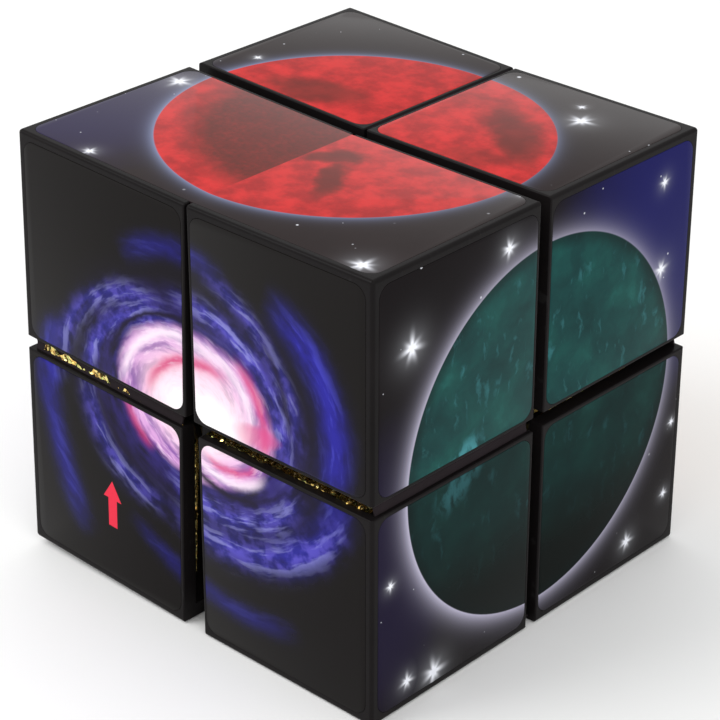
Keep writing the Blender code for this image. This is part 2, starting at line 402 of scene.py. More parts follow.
def arc(t, place, x, y, radius, middle, sweep, width, strength):
    """A soft arc of a circle, for part of the way round."""
    distance, angle = polar(t, place, x, y)
    off = t.math("DIVIDE", t.minus(distance, radius), width)
    line = t.math("EXPONENT", t.times(t.times(off, off), -1.0))
    facing = t.math("COSINE", t.minus(angle, math.radians(middle)))
    ends = t.ramp_between(facing, math.cos(math.radians(sweep)), math.cos(math.radians(0.35 * sweep)))
    return t.times(t.times(line, ends), strength)


def arcs(t, place, rows):
    total = 0.0
    for row in rows:
        total = t.plus(total, arc(t, place, *row))
    return t.math("MINIMUM", total, 1.0)


def swirl_noise(t, place):
    """How far a place is from the galaxy's middle, and coarse and fine noise drawn out along a spiral."""
    middle = t.add("Mapping", {"Vector": place, "Location": (-0.7, -3.2, 0), "Scale": (0.78, 1, 1)})
    radius, angle = polar(t, middle, 0, 0)
    depth = t.math("LOGARITHM", t.plus(radius, 1.5), math.e)
    wind = t.minus(angle, t.times(depth, 2.2))
    round_x, round_y = t.math("COSINE", wind), t.math("SINE", wind)
    streaks = t.noise(t.vector(round_x, round_y, t.times(depth, 2.2)), 2.2, 3, 0.55)
    threads = t.noise(t.vector(round_x, round_y, t.times(depth, 4.5)), 3.4, 3, 0.55)
    return radius, streaks, threads


def white_core(t, place):
    """The galaxy's bright core, a leaning oval."""
    turned = t.add("Mapping", {"Vector": place, "Location": (-2.2, -2.2, 0)})
    turn = (0, 0, math.radians(-34))
    turned = t.add("Mapping", {"Vector": turned, "Rotation": turn, "Scale": (0.55, 1, 1)})
    heart, _ = polar(t, turned, 0, 0)
    return t.math("EXPONENT", t.times(t.math("POWER", t.math("DIVIDE", heart, 3.7), 3.0), -1.0))


def galaxy_print():
    """Front face: a spiral galaxy, white and pink in the middle with blue-violet arms, and an arrow."""
    t = Tree("label_front")
    place = print_place(t)
    stirred = wobble(t, place, 0.30, 0.9)
    swirled = wobble(t, stirred, 0.9, 0.35)
    radius, streaks, threads = swirl_noise(t, stirred)
    dabs = t.noise(stirred, 0.42, 3, 0.5)
    texture = t.plus(streaks, t.plus(threads, t.times(dabs, 0.8)))

    broken = t.ramp_between(texture, 0.95, 1.55)
    violet = t.times(arcs(t, swirled, VIOLET_ARMS), t.plus(t.times(broken, 0.75), 0.25))
    blue = t.times(arcs(t, swirled, BLUE_ARMS), t.plus(t.times(broken, 0.6), 0.4))
    haze = t.times(t.ramp_between(radius, 16.5, 10.5), t.ramp_between(texture, 0.9, 1.7))
    disc = t.times(t.ramp_between(radius, 10.9, 9.4), t.plus(t.times(broken, 0.25), 0.75))
    threading = t.ramp_between(threads, 0.50, 0.64)

    arm = t.mix(t.ramp_between(dabs, 0.42, 0.60), from_screen(40, 38, 138), from_screen(80, 72, 176))
    arm = t.mix(t.times(threading, 0.6), arm, from_screen(146, 146, 214))
    lilac = t.ramp_between(streaks, 0.40, 0.60)
    lilac = t.mix(lilac, from_screen(136, 86, 164), from_screen(206, 154, 206))
    lilac = t.mix(t.times(threading, 0.45), lilac, from_screen(240, 214, 234))
    lilac = t.mix(t.ramp_between(radius, 9.0, 4.5), lilac, from_screen(246, 208, 226))

    colour = t.mix(t.ramp_between(radius, 21, 11), from_screen(11, 7, 6), from_screen(16, 10, 30))
    colour = t.mix(t.times(haze, 0.6), colour, from_screen(56, 44, 132))
    outer_arm = t.mix(t.times(threading, 0.5), from_screen(36, 32, 142), from_screen(72, 72, 196))
    colour = t.mix(blue, colour, outer_arm)
    colour = t.mix(violet, colour, arm)
    colour = t.mix(disc, colour, lilac)
    colour = t.mix(arcs(t, swirled, PALE_STROKES), colour, from_screen(250, 232, 242))
    patchy = t.plus(t.times(t.ramp_between(texture, 1.0, 1.45), 0.6), 0.4)
    rose = t.times(arcs(t, swirled, ROSE_STROKES), patchy)
    colour = t.mix(rose, colour, from_screen(200, 56, 112))
    tip = t.times(patch(t, swirled, 10.8, 3.0, 5.0, 1.9, 8), 0.75)
    colour = t.mix(tip, colour, from_screen(206, 62, 128))
    colour = t.mix(arcs(t, swirled, DARK_LANES), colour, from_screen(20, 12, 36))
    colour = t.mix(white_core(t, swirled), colour, from_screen(255, 251, 253))
    colour = t.mix(arrow(t, place, -14.1, -14.4), colour, from_screen(222, 44, 68))
    return laminate(t, colour, place, 0.35)


def arrow(t, place, x, tip):
    """A small plain arrow that points up."""
    dx, y = t.split(t.shift(place, (-x, -tip, 0)))
    off = t.math("ABSOLUTE", dx)
    down = t.times(y, -1.0)
    slope = t.minus(t.times(down, 0.62), off)
    head = t.math("MINIMUM", t.ramp_between(slope, -0.05, 0.05), t.ramp_between(down, 2.75, 2.65))
    shaft = t.math("MINIMUM", t.ramp_between(off, 0.85, 0.75), t.ramp_between(down, 2.5, 2.6))
    shaft = t.math("MINIMUM", shaft, t.ramp_between(down, 6.95, 6.85))
    return t.math("MAXIMUM", head, shaft)


def planet(t, place, x, y, size, surface, sky, halo, halo_width, bright_side, evenness):
    """A printed disc with a thin halo that is brighter on one side, in front of the sky."""
    radius, angle = polar(t, place, x, y)
    facing = t.math("COSINE", t.minus(angle, math.radians(bright_side)))
    facing = t.plus(0.5 + evenness / 2, t.times(facing, 0.5 - evenness / 2))
    beyond = t.math("MAXIMUM", t.minus(radius, size), 0.0)
    ring = t.math("EXPONENT", t.math("DIVIDE", t.times(beyond, -1.0), halo_width))
    colour = t.mix(t.times(ring, facing), sky, halo)
    disc = t.ramp_between(radius, size + 0.10, size - 0.10)
    return t.mix(disc, colour, surface), disc, radius


def red_planet_print():
    """Top face: a red planet with brown plains; one of them ends at the crease of the print."""
    t = Tree("label_top")
    place = print_place(t)
    stirred = wobble(t, place, 0.22, 4.5)
    cloud = t.noise(place, 0.25, 6, 0.6)
    fine = t.noise(place, 1.4, 4, 0.6)
    surface = t.mix(t.ramp_between(cloud, 0.35, 0.65), from_screen(152, 28, 32), from_screen(204, 42, 44))
    surface = t.mix(t.times(fine, 0.35), surface, from_screen(172, 50, 38))
    smudges = 0.0
    for x, y, long, wide, turn, depth in (
        (7.5, -13.0, 7.5, 2.4, -62, 0.85),
        (3.5, -7.6, 5.5, 2.6, 40, 0.80),
        (14.5, 12.5, 12.5, 4.6, -42, 0.80),
        (16.0, 4.0, 6.0, 3.0, 10, 0.40),
        (-13.0, 5.5, 9.0, 4.5, 20, 0.70),
        (5.0, 18.0, 9.0, 3.0, 10, 0.25),
    ):
        smudges = t.math("MAXIMUM", smudges, t.times(patch(t, stirred, x, y, long, wide, turn), depth))
    x, y = t.split(place)
    reach, _ = polar(t, stirred, 0, -0.8)
    plain = t.times(t.ramp_between(reach, 23.5, 17.5), t.ramp_between(x, 0.05, -0.05))
    plain = t.times(plain, t.times(t.ramp_between(y, 1.0, -1.0), t.plus(0.62, t.times(fine, 0.5))))
    colour = t.mix(t.math("MAXIMUM", smudges, plain), surface, from_screen(84, 34, 26))
    corner = patch(t, stirred, -34, -18, 26, 24, 0)
    sky = t.mix(t.noise(place, 0.12, 4), from_screen(26, 17, 17), from_screen(40, 30, 30))
    sky = t.mix(corner, sky, from_screen(38, 31, 64))
    colour, disc, _ = planet(
        t, place, 0.0, -0.8, 25.0, colour, sky, from_screen(120, 128, 160), 0.7, 215, 0.5
    )
    stars = [
        (-26.9, -5.4, 1.7),
        (18.0, 21.4, 1.8),
        (26.2, -27.6, 1.7),
        (-18.8, -28.0, 1.0),
        (15.2, 25.0, 0.7),
        (-25.6, 7.6, 0.7),
        (27.0, -1.0, 0.7),
    ]
    starry = add_stars(t, place, colour, stars, 1.0)
    colour = t.mix(disc, starry, colour)
    return laminate(t, colour, place, 0.5)


def green_planet_print():
    """Right face: a sea-green planet in a pale glow, with painted shade that darkens it below its middle.
    """
    t = Tree("label_right")
    place = print_place(t)
    stirred = wobble(t, place, 0.16, 5.0)
    cloud = t.noise(stirred, 0.13, 5, 0.55)
    drawn_out = t.add("Mapping", {"Vector": stirred, "Rotation": (0, 0, 0.9), "Scale": (1, 0.35, 1)})
    wisps = t.noise(drawn_out, 0.7, 6)
    surface = t.colour_ramp(
        cloud,
        [
            (0.32, from_screen(13, 50, 50)),
            (0.48, from_screen(17, 61, 60)),
            (0.62, from_screen(21, 74, 70)),
            (0.78, from_screen(34, 98, 92)),
        ],
    )
    pale = t.times(t.ramp_between(wisps, 0.56, 0.74), 0.28)
    bay = t.times(patch(t, stirred, -14.5, -1.0, 6.5, 4.0, 40), t.ramp_between(wisps, 0.40, 0.62))
    surface = t.mix(t.math("MAXIMUM", pale, t.times(bay, 0.8)), surface, from_screen(74, 150, 158))
    # Painted shade: the face is darkened below the seam between the upper and lower units, and more towards
    # the bottom.
    _, y = t.split(place)
    surface = t.mix(t.times(t.ramp_between(y, 1.0, -1.5), 0.70), surface, from_screen(5, 21, 19))
    surface = t.mix(t.ramp_between(y, -7.0, -21.0), surface, from_screen(9, 15, 13))
    corner = patch(t, stirred, 34, 22, 36, 30, 20)
    side = patch(t, stirred, -27, -10, 13, 24, 0)
    sky = t.mix(t.noise(place, 0.10, 4), from_screen(10, 6, 7), from_screen(17, 11, 14))
    sky = t.mix(corner, sky, from_screen(22, 22, 84))
    sky = t.mix(t.times(side, 0.6), sky, from_screen(26, 18, 52))
    colour, disc, radius = planet(
        t, place, 1.1, -0.9, 25.0, surface, sky, from_screen(186, 182, 204), 1.0, 215, 0.40
    )
    rim = t.times(t.ramp_between(radius, 22.8, 25.0), t.times(disc, 0.6))
    colour = t.mix(rim, colour, from_screen(5, 18, 18))
    stars = [
        (-23.4, 19.3, 1.9),
        (-18.8, -27.4, 2.0),
        (-6.6, 25.9, 1.3),
        (23.6, 12.5, 1.3),
        (19.5, -26.1, 1.3),
        (-23.7, -26.3, 1.2),
        (23.3, 24.6, 0.9),
        (-26.8, -11.2, 0.8),
        (27.2, -22.0, 0.8),
        (28.0, -11.4, 0.7),
    ]
    starry = add_stars(t, place, colour, stars, 5.0)
    colour = t.mix(disc, starry, colour)
    return laminate(t, colour, place, 0.25)


def ringed_planet_print():
    """Left face: a violet planet with a broad pale ring."""
    t = Tree("label_left")
    place = print_place(t)
    stirred = wobble(t, place, 0.25, 1.6)
    tilted = t.add("Mapping", {"Vector": stirred, "Rotation": (0, 0, math.radians(18))})
    _, height = t.split(tilted)
    bands = t.noise(t.vector(0.0, height, 0.0), 0.34, 5, 0.6)
    surface = t.mix(bands, from_screen(44, 26, 92), from_screen(172, 132, 206))
    surface = t.mix(t.times(t.noise(stirred, 0.5, 5), 0.3), surface, from_screen(216, 170, 210))
    sky = t.mix(t.noise(place, 0.10, 4), from_screen(12, 9, 16), from_screen(30, 20, 48))
    colour, disc, _ = planet(
        t, place, 0.0, 0.0, 15.5, surface, sky, from_screen(150, 130, 190), 1.2, 130, 0.3
    )
    squashed = t.add("Mapping", {"Vector": tilted, "Scale": (1, 3.4, 1)})
    reach, _ = polar(t, squashed, 0, 0)
    ring = t.times(t.ramp_between(reach, 18.5, 19.3), t.ramp_between(reach, 27.2, 26.2))
    gaps = t.noise(t.vector(reach, 0.0, 0.0), 0.9, 3, 0.6)
    ring = t.times(ring, t.ramp_between(gaps, 0.36, 0.50))
    behind = t.times(disc, t.ramp_between(height, -0.2, 0.2))
    ring = t.times(ring, t.minus(1.0, behind))
    starry = add_stars(t, place, colour, [(-21.0, 20.0, 1.6), (20.5, -21.0, 1.8), (17.0, 23.0, 1.0)], 9.0)
    colour = t.mix(disc, starry, colour)
    colour = t.mix(ring, colour, from_screen(206, 184, 220))
    return laminate(t, colour, place)


def banded_planet_print():
    """Rear face: an amber planet with cloud bands."""
    t = Tree("label_rear")
    place = print_place(t)
    stirred = wobble(t, place, 0.18, 4.0)
    _, height = t.split(stirred)
    bands = t.noise(t.vector(0.0, height, 0.0), 0.30, 6, 0.65)
    surface = t.colour_ramp(
        bands,
        [
            (0.30, from_screen(104, 52, 26)),
            (0.45, from_screen(186, 116, 60)),
            (0.55, from_screen(226, 186, 132)),
            (0.70, from_screen(160, 84, 44)),
        ],
    )
    storm = patch(t, stirred, 8, -8, 5.0, 2.8, 8)
    surface = t.mix(storm, surface, from_screen(178, 60, 34))
    sky = t.mix(t.noise(place, 0.10, 4), from_screen(12, 10, 12), from_screen(34, 24, 26))
    colour, disc, _ = planet(
        t, place, 0.0, 0.0, 24.6, surface, sky, from_screen(210, 170, 120), 1.0, 60, 0.3
    )
    starry = add_stars(t, place, colour, [(-23.0, -21.0, 1.6), (24.0, 22.5, 1.8)], 13.0)
    colour = t.mix(disc, starry, colour)
    return laminate(t, colour, place)


def blue_planet_print():
    """Bottom face: a deep blue planet with thin white cloud."""
    t = Tree("label_bottom")
    place = print_place(t)
    stirred = wobble(t, place, 0.16, 7.0)
    surface = t.mix(t.noise(stirred, 0.14, 6), from_screen(10, 34, 96), from_screen(46, 112, 190))
    cloud = t.ramp_between(t.noise(stirred, 0.32, 8, 0.65), 0.55, 0.72)
    surface = t.mix(t.times(cloud, 0.7), surface, from_screen(214, 226, 240))
    sky = t.mix(t.noise(place, 0.10, 4), from_screen(9, 9, 14), from_screen(18, 22, 46))
    colour, disc, _ = planet(
        t, place, 0.0, 0.0, 24.8, surface, sky, from_screen(130, 170, 226), 1.3, 100, 0.4
    )
    starry = add_stars(t, place, colour, [(-22.5, 22.0, 1.7), (24.0, -21.5, 1.5)], 17.0)
    colour = t.mix(disc, starry, colour)
    return laminate(t, colour, place)


MATERIALS = {
    "black_plastic": plastic_material(),
    "hinge_film": film_material(),
    "gold_foil": foil_material(),
    "label_front": galaxy_print(),
    "label_top": red_planet_print(),
    "label_right": green_planet_print(),
    "label_left": ringed_planet_print(),
    "label_rear": banded_planet_print(),
    "label_bottom": blue_planet_print(),
}


# ---------------------------------------------------------------- placing pieces

def lean(point, share=1.0):
    """Turn a point about the top line as the resting left half is turned."""
    axis = Vector((MIDDLE_X, 0, HALF + HINGE_HEIGHT))
    return Matrix.Rotation(REST_OPENING * share, 3, "Y") @ (point - axis) + axis


def mark_print(mesh, face):
    """Write each corner's place on the closed cube's face, in millimetres, as the print's UVs."""
    right, up = [Vector(axis) for axis in PRINT_AXES[face]]
    layer = mesh.uv_layers.new(name="print")
    for loop in mesh.loops:
        place = mesh.vertices[loop.vertex_index].co - CENTRE
        layer.data[loop.index].uv = (place.dot(right) / MM, place.dot(up) / MM)


def settle(mesh, unit, printed_face=None):
    """Move a mesh made in the +X +Y +Z corner, about the cube's middle, to its own unit.

    A label's print is laid out on the closed cube, before the left half leans.
    """
    side = UNITS[unit]
    mesh.transform(Matrix.Translation(CENTRE) @ Matrix.Diagonal((*side, 1)))
    if side[0] * side[1] * side[2] < 0:
        mesh.flip_normals()
    if printed_face:
        mark_print(mesh, printed_face)
    if unit in LEANING:
        for vertex in mesh.vertices:
            vertex.co = lean(vertex.co)


def smooth(mesh):
    mesh.shade_smooth()
    mesh.set_sharp_from_angle(angle=SHARP_ANGLE)


def add_piece(name, mesh, slot, *stands_for):
    piece = bpy.data.objects.new(name, mesh)
    bpy.context.collection.objects.link(piece)
    mesh.materials.clear()
    mesh.materials.append(MATERIALS[slot])
    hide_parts(*stands_for)
    return piece


def to_mesh(solid, name):
    bmesh.ops.recalc_face_normals(solid, faces=solid.faces)
    mesh = bpy.data.meshes.new(name)
    solid.to_mesh(mesh)
    solid.free()
    return mesh


def add_box(solid, low, high):
    middle = (Vector(low) + Vector(high)) / 2
    size = [b - a for a, b in zip(low, high)]
    shape = Matrix.Translation(middle) @ Matrix.Diagonal((*size, 1))
    bmesh.ops.create_cube(solid, size=1, matrix=shape)


def helper(mesh):
    """An object that is only there while a modifier works."""
    thing = bpy.data.objects.new(mesh.name, mesh)
    bpy.context.collection.objects.link(thing)
    return thing


def baked(thing, name):
    """The mesh that an object's modifiers give."""
    graph = bpy.context.evaluated_depsgraph_get()
    mesh = bpy.data.meshes.new_from_object(thing.evaluated_get(graph), depsgraph=graph)
    mesh.name = name
    return mesh


def near_edges(unit):
    """Where a unit's three side walls stand, from the middle of the cube."""
    return [CREASE_EDGE if UNITS[unit][2] > 0 and axis == 0 else SEAM_EDGE for axis in range(3)]


def label_reach(unit, face, axis):
    """Where a unit's label starts and ends along one axis of its face."""
    if UNITS[unit][2] > 0 and axis == 0:
        start = 0.0 if unit in CREASED and face == 2 else CREASED_LABEL_NEAR
    else:
        start = LABEL_NEAR
    return start, LABEL_FAR


# ---------------------------------------------------------------- outer shells

def rounded_outline(low, high, radii, steps=8):
    """Points round a rectangle with a radius at each corner, from the high corner round to the left."""
    corners = [(high[0], high[1]), (low[0], high[1]), (low[0], low[1]), (high[0], low[1])]
    inward = [(-1, -1), (1, -1), (1, 1), (-1, 1)]
    points = []
    for i, (corner, side, radius) in enumerate(zip(corners, inward, radii)):
        if not radius:
            points.append(corner)
            continue
        middle = [corner[k] + side[k] * radius for k in range(2)]
        for step in range(steps + 1):
            angle = math.pi / 2 * (i + step / steps)
            points.append((middle[0] + radius * math.cos(angle), middle[1] + radius * math.sin(angle)))
    return points


def plate(solid, points, face, low, high):
    """A flat plate with an outline in the plane across one axis, between two heights."""
    across, along = [axis for axis in range(3) if axis != face]
    outline = []
    for a, b in points:
        place = [0, 0, 0]
        place[across], place[along], place[face] = a, b, low
        outline.append(solid.verts.new(place))
    under = solid.faces.new(outline)
    lifted = bmesh.ops.extrude_face_region(solid, geom=[under])["geom"]
    offset = [0, 0, 0]
    offset[face] = high - low
    tops = [v for v in lifted if isinstance(v, bmesh.types.BMVert)]
    bmesh.ops.translate(solid, verts=tops, vec=offset)
    return tops


def block_mesh(unit):
    """A unit's outer block, with its outside edges rounded more than its seam edges."""
    solid = bmesh.new()
    near = near_edges(unit)
    add_box(solid, near, [RIM_FACE] * 3)
    weight = solid.edges.layers.float.new("bevel_weight_edge")
    for edge in solid.edges:
        at_seam = any(all(abs(v.co[k] - near[k]) < 1e-7 for v in edge.verts) for k in range(3))
        edge[weight] = SEAM_RADIUS / OUTER_RADIUS if at_seam else 1.0
    return to_mesh(solid, "block")


def recess_mesh(unit):
    """The three shallow recesses that a unit's labels lie in, as cutters."""
    solid = bmesh.new()
    for face in range(3):
        spans = [label_reach(unit, face, axis) for axis in range(3) if axis != face]
        low = [span[0] - RECESS_MARGIN for span in spans]
        high = [span[1] + RECESS_MARGIN for span in spans]
        radii = [LABEL_RADIUS + RECESS_MARGIN] * 4
        if not spans[0][0]:
            low[0] = -WALL
            radii[1] = radii[2] = 0
        points = rounded_outline(low, high, radii)
        plate(solid, points, face, RECESS_FLOOR, RIM_FACE + WALL)
    return to_mesh(solid, "recess")


def hollow_mesh():
    solid = bmesh.new()
    add_box(solid, [-WALL] * 3, [WALL_FACE - WALL] * 3)
    return to_mesh(solid, "hollow")


def add_outer_shell(unit):
    """The moulded three-walled shell, with a rim round each label's recess."""
    block, hollow, recess = helper(block_mesh(unit)), helper(hollow_mesh()), helper(recess_mesh(unit))
    bevel = block.modifiers.new("round", "BEVEL")
    bevel.limit_method = "WEIGHT"
    bevel.width = OUTER_RADIUS
    bevel.segments = 4
    for cutter in (hollow, recess):
        cut = block.modifiers.new(cutter.name, "BOOLEAN")
        cut.operation = "DIFFERENCE"
        cut.object = cutter
    mesh = baked(block, unit + "_shell")
    for thing in (block, hollow, recess):
        bpy.data.objects.remove(thing, do_unlink=True)
    settle(mesh, unit)
    smooth(mesh)
    piece = add_piece(unit + "_shell", mesh, "black_plastic", unit + "_outer_shell")
    piece.modifiers.new("normals", "WEIGHTED_NORMAL").keep_sharp = True
    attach(piece, unit)


# ---------------------------------------------------------------- facets and foil

def star_points(level, reach):
    """The tip and the six rim points of the facets at one level, about the unit's cell centre.

    A facet is where the largest and the smallest of a point's three coordinates add up to the level.
    """
    far = level - reach
    rim = [
        (reach, reach, far),
        (reach, far, far),
        (reach, far, reach),
        (far, far, reach),
        (far, reach, reach),
        (far, reach, far),
    ]
    return Vector([level / 2] * 3), [Vector(point) for point in rim]


CELL_CENTRE = (SEAM_EDGE + WALL_FACE) / 2
CELL_HALF = (WALL_FACE - SEAM_EDGE) / 2
FACET_REACH = CELL_HALF - WALL - FACET_GAP


def add_inner_shell(unit):
    """The six-facet inner shell, a bent sheet with softened folds."""
    solid = bmesh.new()
    layers = []
    for level in (-FACET_RIM, -FACET_RIM + math.sqrt(2) * FACET_WALL):
        tip, rim = star_points(level, FACET_REACH)
        layers.append((solid.verts.new(tip), [solid.verts.new(point) for point in rim]))
    for tip, rim in layers:
        for i in range(6):
            solid.faces.new((tip, rim[i], rim[(i + 1) % 6]))
    for i in range(6):
        j = (i + 1) % 6
        solid.faces.new((layers[0][1][i], layers[0][1][j], layers[1][1][j], layers[1][1][i]))
    bmesh.ops.recalc_face_normals(solid, faces=solid.faces)
    folds = [edge for edge in solid.edges if edge.calc_face_angle(0) > math.radians(20)]
    bmesh.ops.bevel(solid, geom=folds, offset=FOLD_RADIUS, segments=2, profile=0.5, affect="EDGES")
    bmesh.ops.translate(solid, verts=solid.verts, vec=[CELL_CENTRE] * 3)
    mesh = to_mesh(solid, unit + "_facets")
    settle(mesh, unit)
    smooth(mesh)
    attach(add_piece(unit + "_facets", mesh, "black_plastic", unit + "_inner_shell"), unit)


def inset_triangle(corners, inset, radius, steps=4):
    """A triangle's outline moved inwards, with rounded corners."""
    points = []
    for i in range(3):
        corner, before, after = corners[i], corners[i - 1], corners[(i + 1) % 3]
        a, b = (before - corner).normalized(), (after - corner).normalized()
        half_angle = a.angle(b) / 2
        toward = (a + b).normalized()
        middle = corner + toward * (inset + radius) / math.sin(half_angle)
        normal = a.cross(b).normalized()
        start = -normal.cross(a).normalized()
        end = normal.cross(b).normalized()
        for step in range(steps + 1):
            points.append(middle + start.slerp(end, step / steps) * radius)
    return points


# The foil's crumpled edge in the front seam.
LIPPED = ("lower_front_left", "lower_front_right")
LIP_STEPS = 90
LIP_ROWS = 4
LIP_START = SEAM_EDGE + 0.5 * MM
LIP_END = WALL_FACE - 0.7 * MM
LIP_BACK = WALL_FACE - WALL - 0.1 * MM
LIP_FRONT = WALL_FACE - 0.40 * MM


def turned_over_lip(place, share):
    """Depth and rise of the foil where it is turned over the top of the wall, in the open right half."""
    ragged = 0.35 * MM * noise.noise((place * 0.9, 3.0, 0.0))
    depth = LIP_BACK + (LIP_FRONT + ragged - LIP_BACK) * share
    rise = (0.22 + 0.20 * noise.noise((place * 1.3, depth / MM * 1.6, 7.0))) * MM
    return depth, rise


def patchy_lip(place, share):
    """Depth and rise of the foil where it sticks out in patches in front of the film, in the left half."""
    patches = noise.noise((place * 0.33, 9.0, 0.0)) + 0.35 * noise.noise((place * 1.4, 5.0, 0.0))
    outer = min(1.0, max(0.0, (place - 8.0) / 6.0))
    height = (0.12 + 1.4 * outer * min(1.0, max(0.0, patches * 2.2 + 0.60))) * MM
    crumple = noise.noise((place * 1.6, share * 2.5, 4.0))
    depth = WALL_FACE - (0.10 + 0.10 * crumple) * MM
    rise = 0.05 * MM + height * share
    return depth, rise


def add_foil_lip(solid, unit):
    """A thin crumpled strip of foil along the top of a unit's front wall."""
    shape = turned_over_lip if unit == "lower_front_right" else patchy_lip
    rows = []
    for i in range(LIP_STEPS + 1):
        along = LIP_START + (LIP_END - LIP_START) * i / LIP_STEPS
        row = []
        for j in range(LIP_ROWS + 1):
            depth, rise = shape(along / MM, j / LIP_ROWS)
            row.append(solid.verts.new((along, depth, SEAM_EDGE - rise)))
        rows.append(row)
    faces = []
    for a, b in zip(rows, rows[1:]):
        for j in range(LIP_ROWS):
            faces.append(solid.faces.new((a[j], a[j + 1], b[j + 1], b[j])))
    lifted = bmesh.ops.extrude_face_region(solid, geom=faces)["geom"]
    lower = [v for v in lifted if isinstance(v, bmesh.types.BMVert)]
    bmesh.ops.translate(solid, verts=lower, vec=(0, -0.3 * FOIL_THICKNESS, FOIL_THICKNESS))


def add_foil(unit):
    """Six triangles of foil, one on each facet, with the black folds showing between them."""
    solid = bmesh.new()
    tip, rim = star_points(-FACET_RIM, FACET_REACH)
    outward = Vector((1, 1, 1)).normalized()
    for i in range(6):
        corners = [tip, rim[i], rim[(i + 1) % 6]]
        normal = (corners[1] - corners[0]).cross(corners[2] - corners[0]).normalized()
        if normal.dot(outward) > 0:
            normal = -normal
        outline = inset_triangle(corners, FOIL_INSET, FOIL_CORNER_RADIUS)
        under = [solid.verts.new(p + normal * FOIL_LIFT) for p in outline]
        upper = [solid.verts.new(p + normal * (FOIL_LIFT + FOIL_THICKNESS)) for p in outline]
        solid.faces.new(under)
        solid.faces.new(upper)
        for a in range(len(outline)):
            b = (a + 1) % len(outline)
            solid.faces.new((under[a], under[b], upper[b], upper[a]))
    bmesh.ops.translate(solid, verts=solid.verts, vec=[CELL_CENTRE] * 3)
    if unit in LIPPED:
        add_foil_lip(solid, unit)
    mesh = to_mesh(solid, unit + "_glitter")
    settle(mesh, unit)
    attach(add_piece(unit + "_glitter", mesh, "gold_foil", unit + "_foil"), unit)


# ---------------------------------------------------------------- printed labels

def label_solid(low, high, radii, face, cuts=()):
    """A label as a plate with a slightly softened upper edge, cut across where it will bend."""
    solid = bmesh.new()
    plate(solid, rounded_outline(low, high, radii), face, LABEL_UNDER, LABEL_TOP)
    bmesh.ops.recalc_face_normals(solid, faces=solid.faces)
    across = [axis for axis in range(3) if axis != face][0]
    for place in cuts:
        normal, point = [0, 0, 0], [0, 0, 0]
        normal[across], point[across] = 1, place
        everything = solid.verts[:] + solid.edges[:] + solid.faces[:]
        bmesh.ops.bisect_plane(solid, geom=everything, plane_co=point, plane_no=normal)
    rim = [
        edge
        for edge in solid.edges
        if all(abs(v.co[face] - LABEL_TOP) < 1e-7 for v in edge.verts) and edge.calc_face_angle(0) > 1
    ]
    bmesh.ops.bevel(solid, geom=rim, offset=LABEL_EDGE, segments=2, profile=0.5, affect="EDGES")
    return solid


def add_label(unit, face):
    """A unit's label on one of its faces."""
    name = FACES[face, UNITS[unit][face]]
    spans = [label_reach(unit, face, axis) for axis in range(3) if axis != face]
    low, high = [span[0] for span in spans], [span[1] for span in spans]
    mesh = to_mesh(label_solid(low, high, [LABEL_RADIUS] * 4, face), f"{unit}_print_{name}")
    settle(mesh, unit, name)
    smooth(mesh)
    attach(add_piece(mesh.name, mesh, "label_" + name, f"{unit}_label_{name}"), unit)


CREASE_HALF = 0.45 * MM  # how far to each side of the crease the print bends
CREASE_CUTS = 12


def add_creased_label():
    """The one print that runs over both upper front units and bends at the top crease."""
    low, high = (-LABEL_FAR, LABEL_NEAR), (LABEL_FAR, LABEL_FAR)
    cuts = [CREASE_HALF * (2 * i / CREASE_CUTS - 1) for i in range(CREASE_CUTS + 1)]
    solid = label_solid(low, high, [LABEL_RADIUS] * 4, 2, cuts)
    mesh = to_mesh(solid, "upper_front_print_top")
    mesh.transform(Matrix.Translation(CENTRE) @ Matrix.Diagonal((1, -1, 1, 1)))
    mesh.flip_normals()
    mark_print(mesh, "top")
    for vertex in mesh.vertices:
        share = min(max((CREASE_HALF + MIDDLE_X - vertex.co.x) / (2 * CREASE_HALF), 0), 1)
        vertex.co = lean(vertex.co, share * share * (3 - 2 * share))
    smooth(mesh)
    nodes = [unit + "_label_top" for unit in CREASED]
    piece = add_piece(mesh.name, mesh, "label_top", *nodes)
    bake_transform(piece)


# ---------------------------------------------------------------- hinge films

FILM_STEPS = 14
# Each film: the unit that it starts from, the unit that it reaches, and the axis of the face it is in.
FILMS = {
    "hinge_rear_right": ("lower_rear_right", "upper_rear_right", 1),
    "hinge_top_rear": ("upper_rear_right", "upper_rear_left", 2),
    "hinge_left_rear": ("upper_rear_left", "lower_rear_left", 0),
    "hinge_bottom_right": ("lower_rear_right", "lower_front_right", 2),
    "hinge_right_front": ("lower_front_right", "upper_front_right", 0),
    "hinge_front_left": ("upper_front_left", "lower_front_left", 1),
    "hinge_bottom_left": ("lower_rear_left", "lower_front_left", 2),
}
OPEN_HINGE = "hinge_bottom_left"  # the ring is opened here, so this film stays with one unit
TOP_HINGE = "hinge_top_rear"  # its seam is nearly closed, so its film is a thin line near the face
TOP_FILM_LEVEL = HALF - 0.30 * MM
FILM_LEVEL = HALF - 0.75 * MM
FILM_SPAN = (SEAM_EDGE + 0.6 * MM, WALL_FACE - 0.6 * MM)
FILM_SIDE_GAP = 0.03 * MM  # between the film's edge and the unit's side wall


